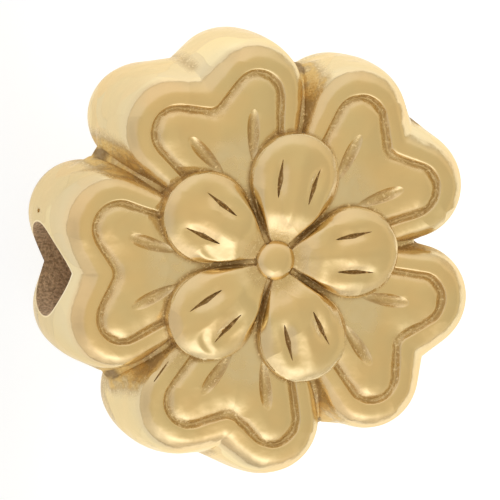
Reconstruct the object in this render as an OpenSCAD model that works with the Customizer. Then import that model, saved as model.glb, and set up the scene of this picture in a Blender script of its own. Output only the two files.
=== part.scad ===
// Flower bead: a cast metal spacer bead, one solid piece. Both faces carry five
// heart petals round a five-petal flower with a centre ball, and one round
// thread hole runs from edge to edge. The bead lies flat: Z is the face normal,
// the thread runs along X, and the origin is the middle of the bead.

/* [Bead] */
// Width across the outer petals
bead_w = 10; // [9.8:0.1:10.2]
// Thickness over the inner petals, on which the bead lies
bead_t = 4.5; // [4.3:0.1:4.8]
// Diameter of the thread hole
hole_d = 2.1; // [1.8:0.1:2.3]

/* [Outer petals] */
// Thickness of the outer petals, from face to face
petal_t = 3.3; // [3.1:0.1:3.5]
// Radius of each of a heart's two round lobes, at mid thickness
lobe_r = 1.28; // [1.25:0.01:1.3]
// Angle from a heart's middle line to the middle of a lobe
lobe_angle = 15.5; // [15:0.5:16]
// Distance of the heart's notch from the middle, at mid thickness
notch_pos = 4.7; // [4.65:0.05:4.75]
// Distance of the web between two hearts from the middle, at mid thickness
web_pos = 4.35; // [4.3:0.05:4.4]

/* [Engraving] */
// Radius of the heart line round a lobe
line_r = 0.55; // [0.5:0.01:0.58]
// Distance of the heart line's notch from the middle
line_notch = 3.57; // [3.5:0.01:3.6]
// Width of the heart line
line_w = 0.16; // [0.12:0.01:0.2]
// Depth of the heart line
line_depth = 0.12; // [0.08:0.01:0.2]
// Length of a leaf dent
dent_len = 1.0; // [0.8:0.05:1.1]
// Width of a leaf dent
dent_w = 0.28; // [0.2:0.01:0.3]
// Depth of a leaf dent
dent_depth = 0.12; // [0.08:0.01:0.16]

/* [Inner flower] */
// Distance of an inner petal's broad end from the middle
inner_pos = 1.84; // [1.8:0.01:1.88]
// Radius of its broad end where it meets the face
inner_r = 1.0; // [0.96:0.01:1.04]
// Distance of its narrow end from the middle
tail_pos = 0.95; // [0.9:0.01:1]
// Radius of its narrow end where it meets the face
tail_r = 0.5; // [0.46:0.01:0.52]
// How much lower its narrow end is than its broad end
tail_drop = 0.2; // [0.1:0.05:0.3]
// Length of a slit
slit_len = 0.9; // [0.7:0.05:1]
// Width of a slit
slit_w = 0.12; // [0.08:0.01:0.14]
// Depth of a slit
slit_depth = 0.12; // [0.08:0.01:0.14]
// Radius of the centre ball
ball_r = 0.42; // [0.38:0.01:0.44]
// Outer radius of the trough round the ball
trough_r = 0.62; // [0.58:0.01:0.66]

/* [Hidden] */
petals = 5;
petal_turn = 360 / petals;
half_turn = petal_turn / 2;
face_z = petal_t / 2;
inner_rise = bead_t / 2 - face_z;
trough_z = face_z - 0.08;
ball_top = bead_t / 2 - 0.14;
slit_fall = 0.08;
arc_steps = 8;
lobe_pos = bead_w / 2 - lobe_r;
lobe = lobe_pos * [cos(lobe_angle), sin(lobe_angle)];
line_lobe = lobe - [0.1, 0];
line_root = 0.5;
dent_mid = [2.77, 0.59];
dent_angle = 22;
slit_mid = [1.8, 0.41];
slit_angle = 6.5;

// The bulging wall and rounded rim, one row for each ring of the skin from mid
// thickness up to the face: height as a share of the face's, then how far the
// lobes, the notch and the web lie in from their places at mid thickness.
HEIGHT = 0;
LOBE_IN = 1;
NOTCH_IN = 2;
WEB_IN = 3;
rim = [
  [0, 0, 0, 0],
  [0.35, 0.02, 0.08, 0.5],
  [0.65, 0.09, 0.22, 1.2],
  [0.85, 0.16, 0.38, 1.48],
  [0.96, 0.24, 0.52, 1.56],
  [1, 0.36, 0.68, 1.64]
];

// Radius of the sphere whose cap has this foot radius and this rise
function cap_sphere(foot, rise) = (foot * foot + rise * rise) / (2 * rise);

function turned(p, a) = [p[0] * cos(a) - p[1] * sin(a), p[0] * sin(a) + p[1] * cos(a)];

// Angle on a circle where a straight line from an outside point touches it
function touch(p, centre, r, side) =
  let (away = p - centre)
    atan2(away[1], away[0]) + side * acos(r / norm(away));

// Upper half of a heart on +X: its notch, round a lobe, then straight back to
// the root on the line between two hearts.
function half_heart(centre, r, notch, root) =
  let (
    first = [notch, 0],
    last = root * [cos(half_turn), sin(half_turn)],
    from = touch(first, centre, r, 1),
    to = touch(last, centre, r, -1)
  )
  concat(
    [first],
    [
      for (i = [0 : arc_steps])
        let (a = from + (to - from) * i / arc_steps)
          centre + r * [cos(a), sin(a)]
    ],
    [last]
  );

// Both halves, from the root below the X axis to the root above it
function heart(centre, r, notch, root) =
  let (half = half_heart(centre, r, notch, root), n = len(half))
    concat([for (i = [n - 1 : -1 : 1]) [half[i][0], -half[i][1]]], half);

// Outline of all the petals on one ring of the skin; neighbours share a root
function flower_ring(row) =
  let (points = heart(lobe, lobe_r - row[LOBE_IN], notch_pos - row[NOTCH_IN], web_pos - row[WEB_IN]))
    [
      for (i = [0 : petals - 1]) for (k = [1 : len(points) - 1])
        turned(points[k], (i + 0.5) * petal_turn)
    ];

// The five hearts as one closed skin, the same on both faces
module outer_petals() {
  last = len(rim) - 1;
  rows = concat(
    [for (i = [last : -1 : 0]) [rim[i], 1]],
    [for (i = [1 : last]) [rim[i], -1]]
  );
  n = len(flower_ring(rim[0]));
  points = [
    for (row = rows) for (p = flower_ring(row[0]))
      [p[0], p[1], row[1] * row[0][HEIGHT] * face_z]
  ];
  top = [for (i = [n - 1 : -1 : 0]) i];
  bottom = [for (i = [0 : n - 1]) (len(rows) - 1) * n + i];
  wall = [
    for (k = [0 : len(rows) - 2]) for (i = [0 : n - 1])
      let (j = (i + 1) % n, a = k * n + i, b = k * n + j)
        each [[a, b, b + n], [a, b + n, a + n]]
  ];
  polyhedron(points, concat([top], wall, [bottom]), convexity = 6);
}

// Repeats the front's relief round the flower and mirrors it to the back
module both_faces(first_angle) {
  for (face = [0, 1]) mirror([0, 0, face])
    for (i = [0 : petals - 1]) rotate(first_angle + i * petal_turn) children();
}

module both_sides() {
  for (side = [0, 1]) mirror([0, side, 0]) children();
}

// The heart-shaped line engraved in the face of an outer petal
module heart_line() {
  half_w = line_w / 2;
  translate([0, 0, face_z - line_depth]) linear_extrude(1) difference() {
    polygon(heart(line_lobe, line_r + half_w, line_notch + half_w, line_root));
    polygon(heart(line_lobe, line_r - half_w, line_notch - half_w, line_root));
  }
}

// One of the two leaf-shaped dents in the field inside the heart line
module leaf_dent() {
  translate([dent_mid[0], dent_mid[1], face_z]) rotate(dent_angle)
    scale([dent_len / 2, dent_w / 2, dent_depth]) sphere(1, $fn = 12);
}

// Five domed petals, broad outside and narrow inside, each right through the bead
module inner_petals() {
  broad = cap_sphere(inner_r, inner_rise);
  narrow = cap_sphere(tail_r, inner_rise - tail_drop);
  for (i = [0 : petals - 1]) rotate(i * petal_turn) hull() {
    for (face = [-1, 1]) {
      translate([inner_pos, 0, face * (face_z + inner_rise - broad)])
        sphere(broad, $fn = 24);
      translate([tail_pos, 0, face * (face_z + inner_rise - tail_drop - narrow)])
        sphere(narrow, $fn = 16);
    }
  }
}

// A narrow slit with pointed ends, cut straight down into an inner petal
module slit() {
  arc_r = cap_sphere(slit_len / 2, slit_w / 2);
  translate([slit_mid[0], slit_mid[1], bead_t / 2 - slit_fall - slit_depth])
    rotate(slit_angle) linear_extrude(1) intersection_for(side = [-1, 1])
      translate([0, side * (arc_r - slit_w / 2)]) circle(arc_r, $fn = 48);
}

module ball_trough() {
  translate([0, 0, trough_z]) cylinder(r = trough_r, h = 1, $fn = 24);
}

module centre_ball() {
  translate([0, 0, ball_top - ball_r]) sphere(ball_r, $fn = 18);
}

module relief() {
  difference() {
    union() {
      difference() {
        outer_petals();
        both_faces(half_turn) {
          heart_line();
          both_sides() leaf_dent();
        }
      }
      inner_petals();
    }
    both_faces(0) both_sides() slit();
    for (face = [0, 1]) mirror([0, 0, face]) ball_trough();
  }
  for (face = [0, 1]) mirror([0, 0, face]) centre_ball();
}

module flower_bead() {
  color([0.83, 0.69, 0.42]) difference() {
    resize([0, 0, bead_t]) relief();
    rotate([0, 90, 0]) cylinder(d = hole_d, h = 2 * bead_w, center = true);
  }
}

flower_bead();
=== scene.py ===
import math

import bmesh
import bpy
import mathutils
from mathutils import Matrix, Vector


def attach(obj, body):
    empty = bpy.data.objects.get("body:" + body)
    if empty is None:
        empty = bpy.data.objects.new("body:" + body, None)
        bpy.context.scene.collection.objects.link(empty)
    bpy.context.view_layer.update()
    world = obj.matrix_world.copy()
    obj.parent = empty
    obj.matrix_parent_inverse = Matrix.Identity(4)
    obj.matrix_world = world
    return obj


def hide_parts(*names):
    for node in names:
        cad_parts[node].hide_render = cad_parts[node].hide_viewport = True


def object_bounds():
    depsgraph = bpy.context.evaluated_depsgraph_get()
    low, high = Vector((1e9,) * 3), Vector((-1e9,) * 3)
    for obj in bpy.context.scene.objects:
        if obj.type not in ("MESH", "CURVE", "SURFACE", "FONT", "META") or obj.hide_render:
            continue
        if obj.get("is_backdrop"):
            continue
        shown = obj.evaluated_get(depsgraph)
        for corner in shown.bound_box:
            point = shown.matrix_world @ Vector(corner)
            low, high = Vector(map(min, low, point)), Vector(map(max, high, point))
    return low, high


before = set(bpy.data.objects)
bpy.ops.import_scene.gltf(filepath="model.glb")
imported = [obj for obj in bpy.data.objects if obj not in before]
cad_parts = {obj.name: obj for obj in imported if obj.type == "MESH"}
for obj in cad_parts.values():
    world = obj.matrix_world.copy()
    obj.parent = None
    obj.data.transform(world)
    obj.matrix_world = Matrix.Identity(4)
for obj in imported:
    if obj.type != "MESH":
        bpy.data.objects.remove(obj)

cad_low, cad_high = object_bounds()


# The outer petals. Five cast hearts stand side by side round the bead, each with
# a bulging wall, a rounded rim and a heart-shaped line engraved in either face.
# One heart is modelled in millimetres, loop by loop, and the rest are its copies.
PETALS = 5
PETAL_TURN = math.tau / PETALS
HALF_TURN = PETAL_TURN / 2
# Square to the middle of the gap beside a heart, towards it
TO_GAP = Vector((-math.sin(HALF_TURN), math.cos(HALF_TURN)))
# The middle and the radius of a lobe's round outline, where the wall is widest
LOBE = Vector((3.585, 0.994))
LOBE_RADIUS = 1.28
# How much a lobe grows as it shifts to the gap, and the radius of the notch's bend
LOBE_GROWTH = 0.34
NOTCH_BEND = 0.025
# How far out a heart's back edge lies, inside the hub
HEART_BACK = 0.5
FIELD_MIDDLE = Vector((2.7, 0.0))
# Sides of the stretches of half a heart's outline
BEND_SIDES = 3
NOTCH_SIDES = 3
LOBE_SIDES = 16
FLANK_SIDES = 4
SLOT_SIDES = 3


def touch_angle(point, centre, radius, side):
    """Angle on a circle where a straight line from an outside point touches it."""
    away = point - centre
    return math.atan2(away.y, away.x) + side * math.acos(radius / away.length)


def on_circle(centre, radius, angle):
    return centre + radius * Vector((math.cos(angle), math.sin(angle)))


def beside_gap(along, off):
    """A point by its distance along the middle of the gap between two hearts, and off it."""
    return Vector((along * math.cos(HALF_TURN), along * math.sin(HALF_TURN))) - off * TO_GAP


def steps(first, last, count):
    """Evenly spaced points from first to last, without first."""
    return [first.lerp(last, i / count) for i in range(1, count + 1)]


def heart_loop(radius, shift, notch, slot, back_off, fillet):
    """One closed outline of a heart: its rounded notch, a lobe, the flank along the gap, and back.

    The lobe has this radius and shift, and the notch lies this far out, rounded by the
    fillet. The flank ends at the slot's distances along and off the gap's middle, and the
    back corner lies back_off from it.
    """
    centre = LOBE + shift
    tip = Vector((notch, 0))
    inner = beside_gap(*slot)
    first = touch_angle(tip, centre, radius, 1)
    last = touch_angle(inner, centre, radius, -1)
    last += math.tau if last < first else 0
    lobe_start = on_circle(centre, radius, first)
    lean = math.atan2(lobe_start.y, lobe_start.x - notch)
    bend = tip + Vector((fillet / math.sin(lean), 0))
    half = []
    for i in range(1, BEND_SIDES + 1):
        half.append(on_circle(bend, fillet, math.pi - (math.pi / 2 - lean) * i / BEND_SIDES))
    tip = bend - Vector((fillet, 0))
    half += steps(half[-1], lobe_start, NOTCH_SIDES)
    for i in range(1, LOBE_SIDES + 1):
        half.append(on_circle(centre, radius, first + (last - first) * i / LOBE_SIDES))
    half += steps(half[-1], inner, FLANK_SIDES)
    corner = beside_gap(HEART_BACK, back_off)
    half += steps(inner, corner, SLOT_SIDES)
    half.append(Vector((corner.x, corner.y * 0.5)))
    other = [Vector((p.x, -p.y)) for p in reversed(half)]
    return [tip] + half + [Vector((corner.x, 0))] + other


def wall_loop(inset, shift, notch, slot):
    """The wall's outline at one height, so far inside its widest place and shifted to the gap."""
    radius = LOBE_RADIUS - inset + LOBE_GROWTH * shift
    return heart_loop(radius, TO_GAP * shift, notch, slot, slot[1], NOTCH_BEND + inset / 4)


# The middle of the engraved line: its radius and shift at a lobe, where its notch and
# its inner corner lie, and the radius of the bend in its notch
LINE_RADIUS = 0.55
LINE_SHIFT = Vector((-0.1, 0))
LINE_NOTCH = 3.53
LINE_CORNER = (2.0, 0.35)
LINE_BEND = 0.30
# How much further the notch moves than the sides do, from one loop to the next
NOTCH_SPREAD = 1.35


def engraved_loop(out):
    """The outline that runs beside the engraved line, out millimetres outside its middle."""
    notch = LINE_NOTCH + NOTCH_SPREAD * out
    slot = (LINE_CORNER[0], LINE_CORNER[1] - out)
    back_off = max(0.04 - 0.75 * out, 0.01)
    return heart_loop(LINE_RADIUS + out, LINE_SHIFT, notch, slot, back_off, LINE_BEND - out / 3)


def between(loop, other, share):
    """The outline that lies this share of the way from one loop to the other."""
    return [a.lerp(b, share) for a, b in zip(loop, other)]


def gathered(loop, middle, share):
    """A loop drawn in towards its middle, to this share of its size."""
    return [middle + (p - middle) * share for p in loop]


def with_back(front):
    """The front's loops, from mid thickness up, with the same ones below it for the back."""
    return [(-height, loop) for height, loop in reversed(front[1:])] + front


def laid(ring, loop, height):
    """Moves a ring of the mesh's points onto a loop, at one height."""
    for v, p in zip(ring, loop):
        v.co = (p.x, p.y, height)


def extruded_from(name, loops):
    """A closed body: a circle laid on the first loop, then extruded to each next one."""
    height, loop = loops[0]
    bpy.ops.object.select_all(action="DESELECT")
    bpy.ops.mesh.primitive_circle_add(vertices=len(loop), radius=1)
    body = bpy.context.object
    body.name = name
    bpy.ops.object.mode_set(mode="EDIT")
    bpy.ops.mesh.select_all(action="SELECT")
    mesh = bmesh.from_edit_mesh(body.data)
    laid(mesh.verts, loop, height)
    bpy.ops.mesh.edge_face_add()
    for height, loop in loops[1:]:
        bpy.ops.mesh.extrude_region_move()
        mesh = bmesh.from_edit_mesh(body.data)
        laid([v for v in mesh.verts if v.select], loop, height)
        bmesh.update_edit_mesh(body.data)
    bpy.ops.mesh.select_all(action="SELECT")
    bpy.ops.mesh.normals_make_consistent(inside=False)
    bpy.ops.object.mode_set(mode="OBJECT")
    return body


def only(*objects):
    """Selects these objects and no others, the first one active."""
    bpy.ops.object.select_all(action="DESELECT")
    for o in objects:
        o.select_set(True)
    bpy.context.view_layer.objects.active = objects[0]


def applied(body, modifier):
    only(body)
    bpy.ops.object.modifier_apply(modifier=modifier.name)


def smoothed(body):
    """Rounds a body off by one level of subdivision."""
    rounding = body.modifiers.new("round", "SUBSURF")
    rounding.levels = 1
    rounding.render_levels = 1
    applied(body, rounding)


def combined(body, tool, operation):
    """Cuts tool out of body or casts it on, and takes tool away."""
    cut = body.modifiers.new("cut", "BOOLEAN")
    cut.object = tool
    cut.operation = operation
    cut.solver = "MANIFOLD"
    applied(body, cut)
    bpy.data.objects.remove(tool)


def stored_shelter_and_shade(body, by_height):
    """Stores how little polishing reaches each loop of a body, and any painted shade it gets, by
    the loop's height.
    """
    shelter_and_shade = body.data.attributes.new("shelter_and_shade", "FLOAT", "POINT")
    for v, held in zip(body.data.vertices, shelter_and_shade.data):
        held.value = by_height.get(round(abs(v.co.z), 3), 0)


def round_the_flower(body):
    """Four more copies of a petal, each with its own mesh, joined to the first."""
    all_five = [body]
    for i in range(1, PETALS):
        only(body)
        bpy.ops.object.duplicate()
        turned = bpy.context.object
        turned.data.transform(Matrix.Rotation(i * PETAL_TURN, 4, "Z"))
        all_five.append(turned)
    only(*all_five)
    bpy.ops.object.join()
    return bpy.context.object


# One face's loops by height: the bulging wall, the rounded rim, down into the engraved
# line and up again, then the cushion of the field, gathered to its middle.
edge = wall_loop(0.245, 0.068, 4.21, (2.93, 0.072))
ledge = engraved_loop(0.110)
cushion = engraved_loop(-0.36)
heart_front = [
    (0.00, wall_loop(0.000, 0.000, 4.70, (4.32, 0.012))),
    (0.40, wall_loop(0.009, 0.002, 4.65, (4.11, 0.013))),
    (0.75, wall_loop(0.037, 0.011, 4.57, (3.86, 0.017))),
    (1.00, wall_loop(0.070, 0.022, 4.49, (3.64, 0.025))),
    (1.15, wall_loop(0.100, 0.032, 4.43, (3.45, 0.035))),
    (1.27, wall_loop(0.135, 0.042, 4.37, (3.24, 0.048))),
    (1.36, wall_loop(0.175, 0.052, 4.31, (3.05, 0.060))),
    (1.42, wall_loop(0.208, 0.060, 4.26, (2.95, 0.068))),
    (1.462, edge),
    (1.520, between(edge, ledge, 0.14)),
    (1.572, between(edge, ledge, 0.29)),
    (1.604, between(edge, ledge, 0.41)),
    (1.624, between(edge, ledge, 0.53)),
    (1.637, between(edge, ledge, 0.68)),
    (1.645, between(edge, ledge, 0.85)),
    (1.650, ledge),
    (1.631, engraved_loop(0.082)),
    (1.584, engraved_loop(0.052)),
    (1.540, engraved_loop(0.022)),
    (1.531, engraved_loop(-0.006)),
    (1.556, engraved_loop(-0.040)),
    (1.603, engraved_loop(-0.092)),
    (1.642, engraved_loop(-0.160)),
    (1.672, engraved_loop(-0.255)),
    (1.692, cushion),
    (1.702, gathered(cushion, FIELD_MIDDLE, 0.75)),
    (1.706, gathered(cushion, FIELD_MIDDLE, 0.45)),
    (1.707, gathered(cushion, FIELD_MIDDLE, 0.20)),
]
heart = extruded_from("heart", with_back(heart_front))

# The engraved line is sheltered from polishing, most at its bottom.
LINE_SHELTER = {1.631: 0.2, 1.584: 0.9, 1.540: 1.0, 1.531: 1.0, 1.556: 0.8, 1.603: 0.25}
stored_shelter_and_shade(heart, LINE_SHELTER)
smoothed(heart)


def fall(share):
    """An even slope between 0 and 1, level at both ends."""
    share = min(max(share, 0), 1)
    return share * share * (3 - 2 * share)


def within(value, edge, slope):
    """0 from an edge on, and 1 below it by the width of the slope or more."""
    return fall((edge - value) / slope)


def past(value, edge, slope):
    """0 up to an edge, and 1 above it by the width of the slope or more."""
    return fall((value - edge) / slope)


# The field sinks towards the hub, where the inner flower's gaps have their floor.
FIELD_FROM = 1.35
HUB_SINK = 0.09
HUB_REACH = 1.65
for v in heart.data.vertices:
    height = abs(v.co.z)
    if height > FIELD_FROM:
        sunk = HUB_SINK * within(math.hypot(v.co.x, v.co.y), HUB_REACH, 0.85)
        v.co.z = math.copysign(height - sunk, v.co.z)

# The two leaf-shaped dents in a heart's field are soft hollows with a pointed inner
# end, deepest near the outer end. The cutter is a ball pressed to the hollow's shape.
LEAF_X = 2.77
LEAF_Y = 0.59
LEAF_Z = 1.705
LEAF_ANGLE = math.radians(22)
LEAF_SIZE = (0.58, 0.145, 0.105)
LEAF_TAPER = 0.30
LEAF_BRIM = 0.03
for face in (1, -1):
    for side in (1, -1):
        bpy.ops.mesh.primitive_uv_sphere_add(segments=40, ring_count=22, radius=1)
        leaf = bpy.context.object
        for v in leaf.data.vertices:
            out = min(v.co.x ** 2 + v.co.y ** 2, 1)
            taper = 1 + LEAF_TAPER * v.co.x
            v.co.y *= taper
            v.co.z = math.copysign((1 - out) ** 1.2 * taper + LEAF_BRIM, v.co.z)
        leaf.data.transform(Matrix.Diagonal((*LEAF_SIZE, 1)))
        leaf.data.transform(Matrix.Rotation(LEAF_ANGLE * side, 4, "Z"))
        leaf.data.transform(Matrix.Translation((LEAF_X, LEAF_Y * side, LEAF_Z * face)))
        combined(heart, leaf, "DIFFERENCE")
heart.data.transform(Matrix.Rotation(HALF_TURN, 4, "Z"))
bead = round_the_flower(heart)
bead.name = "flower_bead_cast"


def uneven(point, waves):
    """A smooth unevenness between 0 and 1, with so many waves to the millimetre."""
    return 0.5 + 0.5 * mathutils.noise.noise(point * waves)


def wavering(point, waves, size):
    """A small step to one side or another, with so many waves to the millimetre."""
    return mathutils.noise.noise_vector(point * waves) * size


# Casting and hand polishing leave the faces and walls a little uneven, and the
# engraved line wavers. The seed makes it waver the same way on each run.
NOISE_SEED = 1
mathutils.noise.seed_set(NOISE_SEED)
FACE_FROM = 1.3
FACE_DIPS = 0.014
WALL_DIPS = 0.005
shelter_and_shade = bead.data.attributes["shelter_and_shade"]
for v, held in zip(bead.data.vertices, shelter_and_shade.data):
    if abs(v.co.z) > FACE_FROM:
        v.co.z -= math.copysign(FACE_DIPS * uneven(v.co, 1.1), v.co.z)
    else:
        inward = 1 - WALL_DIPS * uneven(v.co, 1.2)
        v.co.x *= inward
        v.co.y *= inward
    waver = wavering(v.co, 4, 0.016) + wavering(v.co, 9, 0.012)
    v.co += waver * min(held.value * 1.5, 1)


# The web and hub. A thin body in the middle, cast with the petals, holds them together:
# it shows as the floor of the gaps between the hearts, and as the collar round the
# centre ball.
WEB_SIDES = 160
# Radius and height, from the web's edge to the middle of the hub
web_profile = [
    (4.31, 0.0), (4.17, 0.30), (3.99, 0.55), (3.80, 0.80), (3.61, 1.00), (3.41, 1.15),
    (3.20, 1.26), (2.98, 1.32), (2.60, 1.34), (1.30, 1.48), (1.00, 1.60), (0.80, 1.69),
    (0.65, 1.76), (0.52, 1.81), (0.42, 1.84),
]
web_front = []
for radius, height in web_profile:
    loop = []
    for i in range(WEB_SIDES):
        loop.append(on_circle(Vector((0, 0)), radius, math.tau * i / WEB_SIDES))
    web_front.append((height, loop))
web = extruded_from("web", with_back(web_front))
combined(bead, web, "UNION")


# The inner flower. Five domed petals, cast with the rest, broad outside and narrow at the
# hub, go right through the bead, so both faces have them. Each has two slits in its dome.
INNER_POS = Vector((1.86, 0.0))
INNER_RADIUS = 1.04
INNER_MIDDLE = Vector((1.70, 0.0))
# Half the gap between the feet of two petals
GAP_HALF = 0.035
# The share of an inset by which the tail of the dome is drawn in
TAIL_SHARE = 0.22
ARC_SIDES = 26
SIDE_SIDES = 8


def inner_loop(inset):
    """A petal's outline: round at the broad end, then straight towards the hub."""
    radius = INNER_RADIUS - inset
    apex = Vector(((GAP_HALF + inset * 0.15) / math.sin(HALF_TURN), 0))
    first = touch_angle(apex, INNER_POS, radius, -1)
    upper = steps(apex, on_circle(INNER_POS, radius, first), SIDE_SIDES)
    for i in range(1, ARC_SIDES // 2 + 1):
        upper.append(on_circle(INNER_POS, radius, first * (1 - 2 * i / ARC_SIDES)))
    upper[-1] = Vector((INNER_POS.x + radius, 0))
    other = [Vector((p.x, -p.y)) for p in reversed(upper[:-1])]
    return [apex] + upper + other


def dome_loop(inset):
    """The outline of the dome at one height, drawn in less along the tail."""
    foot = inner_loop(0)
    top = inner_loop(inset)
    drawn = []
    for a, b in zip(foot, top):
        drawn.append(a.lerp(b, TAIL_SHARE + (1 - TAIL_SHARE) * past(a.x, 0.85, 1.0)))
    return drawn


# One face's loops: height and inset up to the dome's shoulder, then height and share of
# the last loop, gathered to the top.
dome = [
    (0.0, 0.0), (1.20, 0.0), (1.62, 0.0), (1.86, 0.003), (1.91, 0.016), (1.938, 0.050),
    (1.98, 0.110), (2.02, 0.172), (2.06, 0.245), (2.095, 0.335), (2.13, 0.45),
]
dome_top = [(2.168, 0.80), (2.200, 0.60), (2.224, 0.42), (2.238, 0.25), (2.244, 0.10)]
inner_front = [(height, dome_loop(inset)) for height, inset in dome]
shoulder = inner_front[-1][1]
for height, share in dome_top:
    inner_front.append((height, gathered(shoulder, INNER_MIDDLE, share)))
inner = extruded_from("inner_petal", with_back(inner_front))

# Polishing doesn't reach the petal's foot either, and the foot also gets painted shade, a dark line
# where it meets the ground.
FOOT_TARNISH_AND_SHADE = {1.62: 0.5, 1.86: 0.5, 1.91: 0.25}
stored_shelter_and_shade(inner, FOOT_TARNISH_AND_SHADE)
smoothed(inner)


def hump(distance, half_width, power):
    """1 in the middle, a good third at the half width and next to nothing far out."""
    return math.exp(-((distance / half_width) ** power))


# The dome sinks towards the hub, and in a soft valley along each slit, which leaves a
# ridge between the two.
SLIT_X = 1.8
SLIT_Y = 0.41
SLIT_ANGLE = math.radians(6.5)
DOME_FROM = 1.55
TAIL_DROP = 0.34
VALLEY_DEPTH = 0.08
VALLEY_HALF_WIDTH = 0.125
VALLEY_HALF_LENGTH = 0.42
RIDGE_RISE = 0.04
RIDGE_HALF_WIDTH = 0.17
RIDGE_HALF_LENGTH = 0.75
RIDGE_X = 1.75
# The rise above the dome's foot over which the valleys set in
VALLEY_EASE = 0.4
for v in inner.data.vertices:
    x, y, height = v.co.x, abs(v.co.y), abs(v.co.z)
    if height > DOME_FROM:
        along = (x - SLIT_X) * math.cos(SLIT_ANGLE) + (y - SLIT_Y) * math.sin(SLIT_ANGLE)
        off = (y - SLIT_Y) * math.cos(SLIT_ANGLE) - (x - SLIT_X) * math.sin(SLIT_ANGLE)
        valley = VALLEY_DEPTH * hump(off, VALLEY_HALF_WIDTH, 2) * hump(along, VALLEY_HALF_LENGTH, 4)
        off_ridge = 1 - hump(y, RIDGE_HALF_WIDTH, 2)
        valley += RIDGE_RISE * off_ridge * hump(x - RIDGE_X, RIDGE_HALF_LENGTH, 4)
        low = TAIL_DROP * within(x, 1.15, 0.65)
        rise = height - DOME_FROM
        height = DOME_FROM + rise * (1 - low) - valley * min(rise / VALLEY_EASE, 1)
        v.co.z = math.copysign(height, v.co.z)

# The slits are struck with a sharp tool: narrow, widest in the middle, V-shaped.
SLIT_SIZE = (0.45, 0.060, 0.13)
SLIT_Z = 2.095
SLIT_TAPER = 0.55
SLIT_KEEL = 0.7
for face in (1, -1):
    for side in (1, -1):
        bpy.ops.mesh.primitive_uv_sphere_add(segments=28, ring_count=14, radius=1)
        slit = bpy.context.object
        for v in slit.data.vertices:
            v.co.y *= 1 - SLIT_TAPER * abs(v.co.x)
            if v.co.z < 0:
                v.co.y *= 1 + SLIT_KEEL * v.co.z
        slit.data.transform(Matrix.Diagonal((*SLIT_SIZE, 1)))
        slit.data.transform(Matrix.Rotation(SLIT_ANGLE * side, 4, "Z"))
        slit.data.transform(Matrix.Translation((SLIT_X, SLIT_Y * side, SLIT_Z)))
        slit.data.transform(Matrix.Diagonal((1, 1, face, 1)))
        if face < 0:
            slit.data.flip_normals()
        combined(inner, slit, "DIFFERENCE")
inner = round_the_flower(inner)

# The domes aren't quite alike in height.
UPPER_FROM = 1.9
DOME_DIPS = 0.05
for v in inner.data.vertices:
    if abs(v.co.z) > UPPER_FROM:
        v.co.z -= math.copysign(DOME_DIPS * uneven(v.co, 1.6), v.co.z)

# Two petals on the front have a flat spot, where the polishing wheel wore their flank:
# its place, its angle in degrees, its half length, half width and depth.
FLAT_FACING = Vector((-0.164, -0.315, 0.93)).normalized()
flat_spots = (
    (-1.29, 0.37, -24, 0.58, 0.36, 0.072),
    (-1.58, -1.70, -50, 0.46, 0.26, 0.045),
)
for x, y, angle, length, width, depth in flat_spots:
    worn = []
    for v in inner.data.vertices:
        away = Matrix.Rotation(math.radians(-angle), 3, "Z") @ (v.co - Vector((x, y, 0)))
        far = math.hypot(away.x / length, away.y / width)
        if v.co.z > UPPER_FROM and far < 1:
            worn.append((v, within(far, 1, 0.35)))
    level = max(v.co.dot(FLAT_FACING) for v, share in worn) - depth
    for v, share in worn:
        v.co -= FLAT_FACING * max(v.co.dot(FLAT_FACING) - level, 0) * share
combined(bead, inner, "UNION")


# The centre ball. A low round cap, cast on the hub between the petals' tails, the same
# on both faces.
BALL_RADIUS = 0.445
BALL_FLATNESS = 0.42
BALL_Z = 1.925
for face in (1, -1):
    bpy.ops.mesh.primitive_uv_sphere_add(segments=48, ring_count=24, radius=BALL_RADIUS)
    ball = bpy.context.object
    ball.data.transform(Matrix.Diagonal((1, 1, BALL_FLATNESS, 1)))
    ball.data.transform(Matrix.Translation((0, 0, BALL_Z * face)))
    combined(bead, ball, "UNION")


# The thread hole. It is drilled from edge to edge, in at the notch of the left heart and
# out between the two right ones, and isn't polished inside.
BORE_RADIUS = 1.05
DRILL_LENGTH = 14
bpy.ops.mesh.primitive_cylinder_add(vertices=96, radius=BORE_RADIUS, depth=DRILL_LENGTH)
drill = bpy.context.object
drill.data.transform(Matrix.Rotation(math.pi / 2, 4, "Y"))
combined(bead, drill, "DIFFERENCE")


# Flaws and sheltered places. The casting left a pit above the hole's left end, and a rim
# below the flower has a scratch. Polishing didn't reach everywhere, and what it missed is
# browner and grainier. The gaps between the hearts are painted with shade and reflection.
def struck(place, along, outward, size):
    """A small lens-shaped flaw in the metal, by its half length, half width and depth."""
    bpy.ops.mesh.primitive_uv_sphere_add(segments=16, ring_count=8, radius=1)
    flaw = bpy.context.object
    outward = Vector(outward).normalized()
    sideways = outward.cross(Vector(along)).normalized()
    axes = Matrix((sideways.cross(outward), sideways, outward)).transposed()
    flaw.data.transform(Matrix.Diagonal((*size, 1)))
    flaw.data.transform(axes.to_4x4())
    flaw.data.transform(Matrix.Translation(place))
    combined(bead, flaw, "DIFFERENCE")


PIT = Vector((-4.80, 1.29, -0.10))
SCRATCH = Vector((-2.66, -2.30, 1.57))
struck(PIT, (0, 0, 1), (-0.97, 0.24, 0), (0.09, 0.045, 0.08))
struck(SCRATCH, (0.42, 0.50, 0), (-0.47, 0.37, 0.80), (0.30, 0.022, 0.05))
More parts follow.
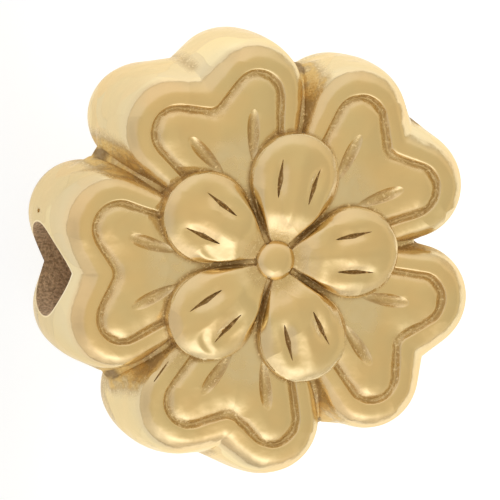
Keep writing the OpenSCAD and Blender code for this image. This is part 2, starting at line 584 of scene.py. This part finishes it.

# The other places that polishing doesn't reach: the leaf dents, the hearts' outer notches,
# the crowded ground round the ball, a rough place on a rim, the pit, and a dark spot in one
# notch. The gaps between the hearts are marked in the same values with painted light:
# painted shade along their floor, an ochre painted reflection at their outer ends and dark
# painted shade at their outermost ends. Up to 1 the marks grow brown, from there to 1.4
# ochre, and above 1.75 dark, with grime at the spot. The ground between the leaf dents,
# close to the inner flower, is left a paler matt.
BROWN_GAP = 0.78
BROWN_NOTCH = 0.9
BROWN_HUB = 0.6
BROWN_RIM = 0.5
OCHRE_END = 1.45
OCHRE_PIT = 1.6
DARK_END = 2.3
DARK_SPOT = 2.4
RIM_PLACE = Vector((-2.35, -1.95, 1.6))
SPOT_PLACE = Vector((3.78, 2.66, 0.56))
LEAF_STAIN = (0.58, 0.15)
matt = bead.data.attributes.new("matt", "FLOAT", "POINT")
shelter_and_shade = bead.data.attributes["shelter_and_shade"]
for v, held, dull in zip(bead.data.vertices, shelter_and_shade.data, matt.data):
    height = abs(v.co.z)
    reach = math.hypot(v.co.x, v.co.y)
    from_gap = (math.atan2(v.co.y, v.co.x) + HALF_TURN) % PETAL_TURN - HALF_TURN
    along = reach * math.cos(from_gap)
    off = abs(reach * math.sin(from_gap))
    # The gaps' floor, between the hearts: brown painted shade.
    in_gap = within(off, 0.25, 0.21) * past(along, 2.75, 0.15) * within(height, 1.62, 0.20)
    # The gaps' outer ends: an ochre painted reflection.
    at_end = within(off, 0.50, 0.25) * past(along, 3.35, 0.35) * within(height, 1.5, 0.2)
    # The gaps' outermost ends: dark painted shade.
    outermost = within(off, 0.22, 0.12) * past(along, 3.95, 0.2)

    from_heart = HALF_TURN - abs(from_gap)
    along = reach * math.cos(from_heart)
    off = reach * math.sin(from_heart)
    away = Vector((along - LEAF_X, off - LEAF_Y))
    away.rotate(Matrix.Rotation(-LEAF_ANGLE, 2))
    in_leaf = fall(1.3 - 1.3 * ((away.x / LEAF_STAIN[0]) ** 2 + (away.y / LEAF_STAIN[1]) ** 2))
    in_leaf *= past(height, 1.4, 0.1)
    in_notch = within(off, 0.20, 0.14) * past(reach, 4.35, 0.15) * within(height, 1.15, 0.3)
    dull.value = within(reach, 3.1, 0.5) * within(off, 0.80, 0.4)
    dull.value *= past(height, 1.45, 0.1) * within(height, 1.80, 0.06)

    at_hub = within(reach, 0.85, 0.3) * past(reach, 0.40, 0.08)
    on_rim = within((v.co - RIM_PLACE).length, 0.6, 0.4)
    in_pit = within((v.co - PIT).length, 0.11, 0.02)
    in_spot = within((v.co - SPOT_PLACE).length, 0.30, 0.10)
    held.value = max(
        held.value,
        in_leaf,
        BROWN_GAP * in_gap,
        BROWN_NOTCH * in_notch,
        BROWN_HUB * at_hub,
        BROWN_RIM * on_rim,
        OCHRE_END * at_end,
        OCHRE_PIT * in_pit,
        DARK_END * outermost,
        DARK_SPOT * in_spot,
    )

MM = 0.001
bead.data.transform(Matrix.Scale(MM, 4))
only(bead)
bpy.ops.object.shade_smooth_by_angle(angle=math.radians(38))


# The finish. Pale gold plating: satin on the high places, brown and grainy where
# polishing doesn't reach, and rough and dull in the thread hole. Its colour also holds
# painted light: painted shade in the nooks and gaps, painted reflections on the walls
# and in the gaps, painted glints, and a painted highlight on the hole's lip.
PLATING = (0.785, 0.607, 0.347)
WORN_PLATING = (0.74, 0.61, 0.367)
# Pale and dim patches of painted reflection on the walls.
CREAM_REFLECTION = (0.82, 0.69, 0.42)
DIM_CREAM_REFLECTION = (0.725, 0.615, 0.40)
MATT = (0.735, 0.63, 0.43)
# Tarnish, and painted shade in the nooks and gaps, in two browns.
TARNISH_AND_SHADE = (0.50, 0.36, 0.17)
DEEPEST_TARNISH_AND_SHADE = (0.54, 0.375, 0.18)
# Pale specks painted as glints of the grain.
SPECK_GLINT = (0.95, 0.80, 0.52)
# Ochre: a painted reflection in the gaps' outer ends, and stains in the pit and the spot.
OCHRE_REFLECTION_AND_STAIN = (0.82, 0.58, 0.22)
# Grime, also painted as shade at the gaps' outermost ends.
GRIME_AND_SHADE = (0.30, 0.20, 0.10)
# A painted highlight round the thread hole's lip.
LIP_HIGHLIGHT = (0.97, 0.86, 0.62)
BORE_METAL = (0.76, 0.58, 0.40)
BORE_STAIN = (0.43, 0.31, 0.21)
GLINT = (0.96, 0.85, 0.64)
gold = bpy.data.materials.new("satin_gold")
gold.use_nodes = True
shader = gold.node_tree.nodes["Principled BSDF"]
coords = gold.node_tree.nodes.new("ShaderNodeTexCoord").outputs["Object"]


def link(value, socket):
    value.id_data.links.new(value, socket)


def fed(kind, value, socket):
    """A new node in the same material or world as the value that it takes in at a socket."""
    node = value.id_data.nodes.new(kind)
    link(value, node.inputs[socket])
    return node


def noise(scale, detail, roughness):
    """A noise pattern with so many patches to the metre."""
    pattern = fed("ShaderNodeTexNoise", coords, "Vector")
    pattern.inputs["Scale"].default_value = scale
    pattern.inputs["Detail"].default_value = detail
    pattern.inputs["Roughness"].default_value = roughness
    return pattern.outputs


def stored(name):
    """A value that the mesh holds at each of its points."""
    value = gold.node_tree.nodes.new("ShaderNodeAttribute")
    value.attribute_name = name
    return value.outputs["Fac"]


def spread(value, low, high, to_low=0, to_high=1, curve="LINEAR"):
    """Carries the range low to high of a value to another range, and holds it there."""
    carry = fed("ShaderNodeMapRange", value, "Value")
    carry.interpolation_type = curve
    carry.inputs["From Min"].default_value = low
    carry.inputs["From Max"].default_value = high
    carry.inputs["To Min"].default_value = to_low
    carry.inputs["To Max"].default_value = to_high
    return carry.outputs["Result"]


def reckon(operation, first, second):
    """One sum on two values, of which the second may be a plain number."""
    calc = fed("ShaderNodeMath", first, 0)
    calc.operation = operation
    if isinstance(second, (int, float)):
        calc.inputs[1].default_value = second
    else:
        link(second, calc.inputs[1])
    return calc.outputs[0]


def times(first, second):
    return reckon("MULTIPLY", first, second)


def blended(share, first, second):
    """A mix of two colours, each a plain colour or another node's."""
    mix = fed("ShaderNodeMix", share, "Factor")
    mix.data_type = "RGBA"
    for socket, colour in ((mix.inputs[6], first), (mix.inputs[7], second)):
        if isinstance(colour, tuple):
            socket.default_value = (*colour, 1)
        else:
            link(colour, socket)
    return mix.outputs[2]


swells = noise(900, 2, 0.5)["Fac"]
ripples = noise(3200, 2, 0.5)["Fac"]
grain = noise(15000, 3, 0.6)["Fac"]
# How little polishing reaches each place, and how much painted shade it gets in the gaps and at the
# petals' feet.
kept_and_shaded = stored("shelter_and_shade")
unpolished = stored("matt")
apart = fed("ShaderNodeSeparateXYZ", coords, "Vector").outputs
on_wall = spread(reckon("ABSOLUTE", apart["Z"], 0), 1.25 * MM, 1.4 * MM, 1, 0)

# Tarnish lies in the sheltered places. The nooks of the relief, found by ambient
# occlusion, are painted with shade in the same browns, darkest where the nook is deepest.
nook = gold.node_tree.nodes.new("ShaderNodeAmbientOcclusion")
nook.samples = 8
nook.only_local = True
nook.inputs["Distance"].default_value = 0.15 * MM
openness = reckon("SUBTRACT", nook.outputs["AO"], spread(grain, 0.3, 0.7, -0.07, 0.07))
mottling = times(spread(grain, 0.3, 0.6, 0.35, 1.0), spread(ripples, 0.35, 0.6, 0.65, 1.1))
tarnish_and_shade = reckon("MAXIMUM", spread(openness, 0.86, 0.46), times(kept_and_shaded, mottling))
deepest_tarnish_and_shade = spread(reckon("SUBTRACT", openness, times(kept_and_shaded, 0.24)), 0.50, 0.10)
# Pale specks in the tarnish, painted as glints of its grain.
glint_specks = times(spread(grain, 0.54, 0.63), tarnish_and_shade)
glint_specks = times(glint_specks, spread(kept_and_shaded, 0.9, 1.2, 1, 0))
# Ochre: a painted reflection of the gold at the gaps' outer ends, and stain in the pit and the
# spot.
ochre_reflection_and_stain = times(spread(kept_and_shaded, 0.95, 1.4, 0, 0.85), spread(ripples, 0.40, 0.55, 0.25, 1))
# Dark: painted shade at the gaps' outermost ends, and grime at the spot in one notch.
grime_and_shade = spread(kept_and_shaded, 1.75, 2.2, 0, 0.85)

# Hand polishing leaves broad facets, bumped into the metal, which show on the walls as
# painted reflections: pale and dim patches, with thin seams of painted shade between them.
FACETS_PER_METRE = 650
FACET_DRIFT = 1.5 * MM
drift = noise(800, 1, 0.5)["Color"]
drifted = fed("ShaderNodeVectorMath", drift, 0)
drifted.operation = "MULTIPLY_ADD"
drifted.inputs[1].default_value = (FACET_DRIFT, FACET_DRIFT, FACET_DRIFT)
link(coords, drifted.inputs[2])


def facets(feature):
    """The facets' pattern, measured from their middles or from their edges."""
    pattern = fed("ShaderNodeTexVoronoi", drifted.outputs["Vector"], "Vector")
    pattern.feature = feature
    pattern.inputs["Scale"].default_value = FACETS_PER_METRE
    return pattern.outputs


facet = facets("F1")
tone = fed("ShaderNodeSeparateColor", facet["Color"], "Color").outputs
reflection_patches = times(spread(tone["Red"], 0.2, 0.8), on_wall)
dim_reflection_patches = times(spread(tone["Green"], 0.5, 1.0), on_wall)
seam_shade = spread(facets("DISTANCE_TO_EDGE")["Distance"], 0.004, 0.020, 0.14, 0)
seam_shade = times(times(seam_shade, spread(swells, 0.42, 0.58)), on_wall)

# The thread hole's wall is the metal within its radius from the X axis, and the hole's lip,
# a little further out, is given a painted highlight.
across_y = times(apart["Y"], apart["Y"])
across_z = times(apart["Z"], apart["Z"])
from_axis = reckon("POWER", reckon("ADD", across_y, across_z), 0.5)
bore = spread(from_axis, (BORE_RADIUS + 0.002) * MM, (BORE_RADIUS + 0.006) * MM, 1, 0)
lip_highlight = spread(from_axis, (BORE_RADIUS + 0.025) * MM, (BORE_RADIUS + 0.045) * MM, 0.9, 0)

colour = blended(spread(swells, 0.35, 0.65), PLATING, WORN_PLATING)
colour = blended(times(unpolished, spread(ripples, 0.35, 0.6, 0.6, 1)), colour, MATT)
# Painted reflections on the walls: pale and dim patches, and seams of painted shade.
colour = blended(reflection_patches, colour, CREAM_REFLECTION)
colour = blended(dim_reflection_patches, colour, DIM_CREAM_REFLECTION)
colour = blended(seam_shade, colour, TARNISH_AND_SHADE)
# Tarnish, with painted shade in the nooks and gaps; the deepest take the second brown.
colour = blended(tarnish_and_shade, colour, TARNISH_AND_SHADE)
colour = blended(deepest_tarnish_and_shade, colour, DEEPEST_TARNISH_AND_SHADE)
# The painted glints.
colour = blended(glint_specks, colour, SPECK_GLINT)
# The ochre painted reflection, and the ochre stains.
colour = blended(ochre_reflection_and_stain, colour, OCHRE_REFLECTION_AND_STAIN)
# Painted shade at the gaps' outermost ends, and grime at the notch spot.
colour = blended(grime_and_shade, colour, GRIME_AND_SHADE)
# The painted highlight on the hole's lip.
colour = blended(lip_highlight, colour, LIP_HIGHLIGHT)
colour = blended(bore, colour, blended(spread(grain, 0.38, 0.60), BORE_STAIN, BORE_METAL))
link(colour, shader.inputs["Base Color"])

roughness = reckon("ADD", spread(ripples, 0.3, 0.7, 0.17, 0.26), times(tarnish_and_shade, 0.22))
roughness = reckon("ADD", roughness, times(unpolished, 0.08))
roughness = reckon("MAXIMUM", roughness, times(bore, 0.65))
link(roughness, shader.inputs["Roughness"])
coarse = reckon("MAXIMUM", tarnish_and_shade, bore)
link(spread(coarse, 0, 1, 1, 0.45), shader.inputs["Metallic"])
shader.inputs["Specular Tint"].default_value = (*GLINT, 1)


def bumped(height, depth, below=None):
    """A bump so many metres deep on top of the bumps below it."""
    bump = fed("ShaderNodeBump", height, "Height")
    bump.inputs["Distance"].default_value = depth
    if below is not None:
        link(below, bump.inputs["Normal"])
    return bump


facet_bump = bumped(reckon("POWER", facet["Distance"], 2), 0.07 * MM)
swell_bump = bumped(swells, 0.07 * MM, facet_bump.outputs["Normal"])
ripple_bump = bumped(ripples, 0.011 * MM, swell_bump.outputs["Normal"])
grain_bump = bumped(grain, 0.026 * MM, ripple_bump.outputs["Normal"])
link(coarse, grain_bump.inputs["Strength"])
link(grain_bump.outputs["Normal"], shader.inputs["Normal"])
bead.data.materials.clear()
bead.data.materials.append(gold)
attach(bead, "root")
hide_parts("flower_bead")


# The floor. Pale card that the bead lies on, glowing with a painted light that is a little
# less bright on the left.
CARD_COLOUR = (0.35, 0.385, 0.465)
CARD_ROUGHNESS = 0.9
CARD_GLOW_DIM = 0.68
CARD_GLOW_BRIGHT = 0.95
CARD_SIZE = 0.6
FLOOR_Z = cad_low[2]
bpy.ops.object.select_all(action="DESELECT")
bpy.ops.mesh.primitive_plane_add(size=CARD_SIZE, location=(0, 0, FLOOR_Z))
floor = bpy.context.object
floor.name = "floor"
card = bpy.data.materials.new("glowing_pale_card")
card.use_nodes = True
card_shader = card.node_tree.nodes["Principled BSDF"]
card_shader.inputs["Base Color"].default_value = (*CARD_COLOUR, 1)
card_shader.inputs["Roughness"].default_value = CARD_ROUGHNESS
card_shader.inputs["Emission Color"].default_value = (1, 1, 1, 1)
where = card.node_tree.nodes.new("ShaderNodeTexCoord").outputs["Object"]
across = fed("ShaderNodeSeparateXYZ", where, "Vector").outputs["X"]
# The card's painted glow, dimmer towards the left.
card_glow = spread(across, -6 * MM, 0, CARD_GLOW_DIM, CARD_GLOW_BRIGHT, curve="SMOOTHSTEP")
link(card_glow, card_shader.inputs["Emission Strength"])
floor.data.materials.append(card)
floor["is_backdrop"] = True


# The light. A pale tent with one soft lamp from below, where the picture's lower edge
# is, and dimmer in front where the camera stands, on the right, on the left and below.
TENT_WHITE = (1, 0.91, 0.79)
WARM_FRONT = (1, 0.872, 0.60)
KEY_WHITE = (1, 0.99, 0.96)
TENT_STRENGTH = 0.98
KEY_STRENGTH = 0.95
world = bpy.data.worlds.new("tent")
bpy.context.scene.world = world
world.use_nodes = True
backdrop = world.node_tree.nodes["Background"]
look = world.node_tree.nodes.new("ShaderNodeTexCoord").outputs["Generated"]


def glow(toward, tightness, amount):
    """A soft round patch of light or shade on the tent, around one direction."""
    turned = fed("ShaderNodeVectorMath", look, 0)
    turned.operation = "DOT_PRODUCT"
    turned.inputs[1].default_value = Vector(toward).normalized()
    near = reckon("MAXIMUM", turned.outputs["Value"], 0)
    return times(reckon("POWER", near, tightness), amount)


def added_up(first, *others):
    for other in others:
        first = reckon("ADD", first, other)
    return first


key = glow((0.02, -0.81, 0.57), 15, 1.0)
front = spread(glow((0.30, -0.15, 0.94), 1, 1.0), 0.54, 0.76, curve="SMOOTHSTEP")
right = glow((0.88, -0.15, 0.42), 2, 1.0)
below = glow((-0.15, -0.98, 0.0), 14, 0.30)
left = glow((-0.80, -0.20, 0.56), 8, 0.26)
top = glow((0.30, 0.74, 0.60), 6, 0.08)
rise = fed("ShaderNodeSeparateXYZ", look, "Vector").outputs["Z"]
level = reckon("SUBTRACT", times(reckon("ABSOLUTE", rise, 0), -1), -1)
horizon = times(reckon("POWER", level, 9), 0.42)
shade = added_up(times(front, 0.160), times(right, 0.10), below, horizon, left)
light = added_up(top, TENT_STRENGTH, times(key, KEY_STRENGTH))
warm = reckon("MAXIMUM", front, right)
tent_colour = blended(key, blended(warm, TENT_WHITE, WARM_FRONT), KEY_WHITE)
link(tent_colour, backdrop.inputs["Color"])
link(reckon("SUBTRACT", light, shade), backdrop.inputs["Strength"])


# The camera. It looks down on the bead from the photograph's side, turned by these
# angles from straight above, and its frame is placed by where the ball's top lies in it.
AZIMUTH = math.radians(17.4)
TILT = math.radians(8.8)
ROLL = math.radians(2.67)
PIXELS_PER_MM = 45.1
IMAGE_PIXELS = 500
BALL_TOP_PIXEL = (277.9, 261.6)
BALL_TOP = Vector((0, 0, 2.11))
CAMERA_DISTANCE = 0.3
SENSOR_WIDTH = 36
backward = Vector((
    -math.sin(AZIMUTH) * math.cos(TILT),
    math.sin(TILT),
    math.cos(AZIMUTH) * math.cos(TILT),
))
level_right = Vector((math.cos(AZIMUTH), 0, math.sin(AZIMUTH)))
level_up = backward.cross(level_right)
rightward = math.cos(ROLL) * level_right - math.sin(ROLL) * level_up
upward = backward.cross(rightward)
across = (IMAGE_PIXELS / 2 - BALL_TOP_PIXEL[0]) / PIXELS_PER_MM
above = (BALL_TOP_PIXEL[1] - IMAGE_PIXELS / 2) / PIXELS_PER_MM
target = (BALL_TOP + rightward * across + upward * above) * MM
lens = bpy.data.cameras.new("camera")
lens.sensor_width = SENSOR_WIDTH
lens.lens = SENSOR_WIDTH * CAMERA_DISTANCE / MM * PIXELS_PER_MM / IMAGE_PIXELS
lens.clip_start = 0.01
lens.clip_end = 10
camera = bpy.data.objects.new("camera", lens)
bpy.context.scene.collection.objects.link(camera)
facing = Matrix((rightward, upward, backward)).transposed().to_4x4()
camera.matrix_world = Matrix.Translation(target + backward * CAMERA_DISTANCE) @ facing
bpy.context.scene.camera = camera
bpy.context.scene.view_settings.view_transform = "Standard"

low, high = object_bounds()
